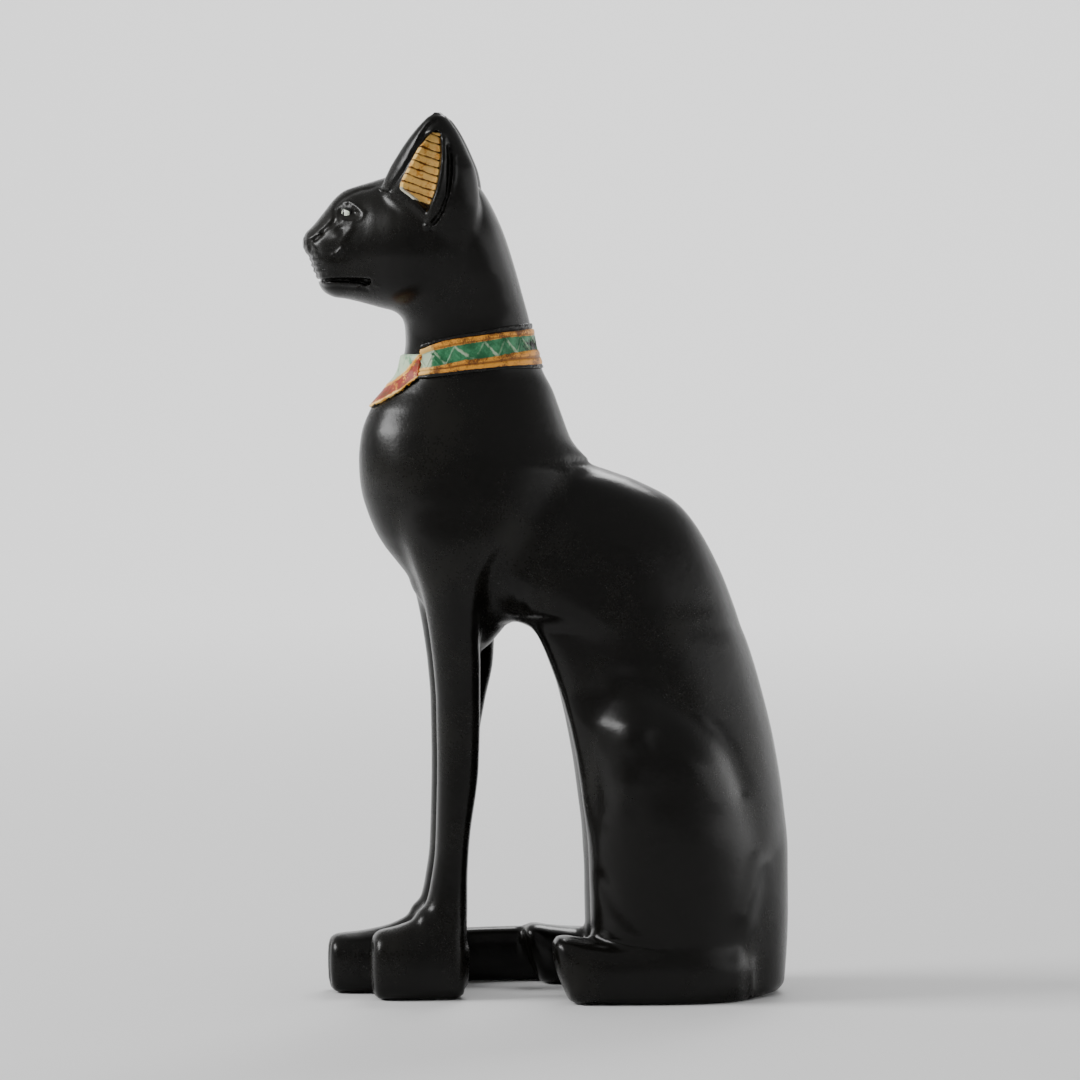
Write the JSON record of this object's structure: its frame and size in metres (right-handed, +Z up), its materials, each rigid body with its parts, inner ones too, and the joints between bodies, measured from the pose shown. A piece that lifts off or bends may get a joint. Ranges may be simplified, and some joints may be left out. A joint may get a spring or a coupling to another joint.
{
  "type": "bastet cat figure",
  "caption": "Seated cat figure cast in black resin, upright on slim forelegs, with a painted collar and breast plate, gold ear linings and its tail laid along the right side.",
  "frame": {"origin": "on the surface that the figure stands on, in the middle of its outline", "axes": "+Z up, -Y the way the cat looks, +X its left side"},
  "size_m": [0.0597, 0.1106, 0.2],
  "materials": {
    "black_resin": "warm black paint with a satin gloss over cast resin; gold, green, white and red paint on collar and ears"
  },
  "bodies": {
    "root": {"cat_figure": "black_resin"}
  },
  "joints": []
}
